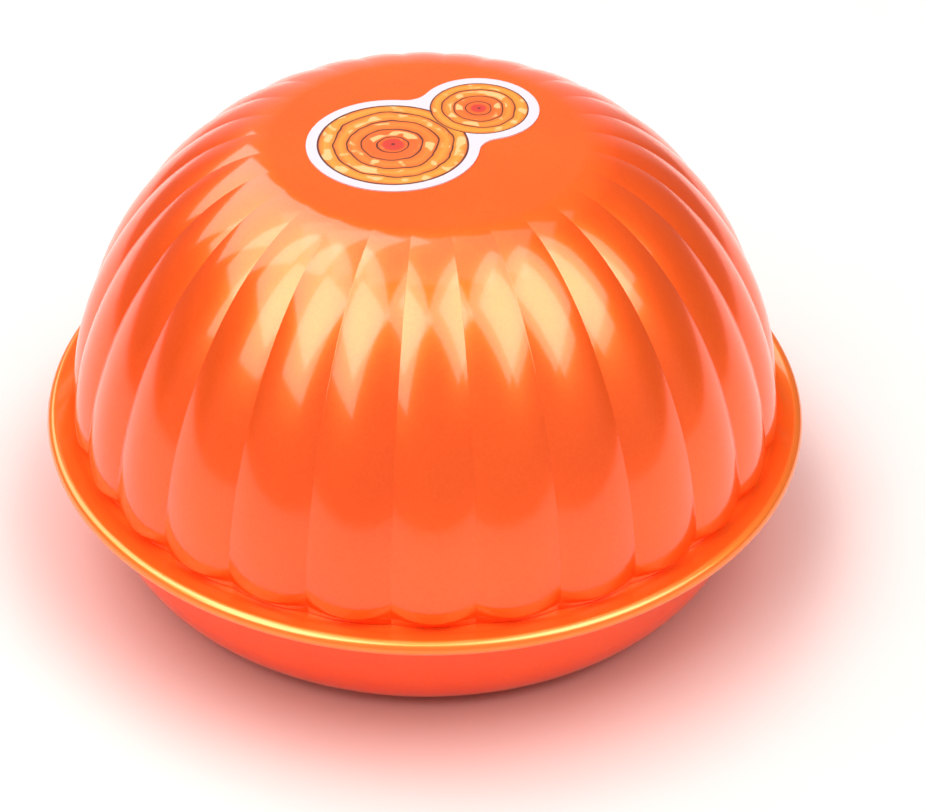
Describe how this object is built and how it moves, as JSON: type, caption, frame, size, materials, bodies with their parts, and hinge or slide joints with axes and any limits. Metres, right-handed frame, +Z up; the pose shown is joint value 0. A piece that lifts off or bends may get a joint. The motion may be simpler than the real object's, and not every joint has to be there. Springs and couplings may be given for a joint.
{
  "type": "onion keeper",
  "caption": "Round lidded food keeper: a dish with a flared rim and a fluted dome lid that plugs into its mouth and lifts off.",
  "frame": {"origin": "middle of the circle that the dish's foot ring stands on, at the surface it stands on", "axes": "+Z up along the keeper's axis, -Y the front, where the crest of one flute lies"},
  "size_m": [0.128, 0.128, 0.0732],
  "materials": {
    "orange_plastic": "glossy pearl moulded plastic",
    "printed_film": "satin printed film with a white border"
  },
  "bodies": {
    "dish_body": {"dish": "orange_plastic"},
    "lid_body": {"fluted_lid": "orange_plastic", "top_label": "printed_film"}
  },
  "joints": [
    {"name": "lid_lift", "type": "slide", "parent": "dish_body", "child": "lid_body", "axis": [0, 0, 1], "range_m": [0, 0.08]}
  ]
}
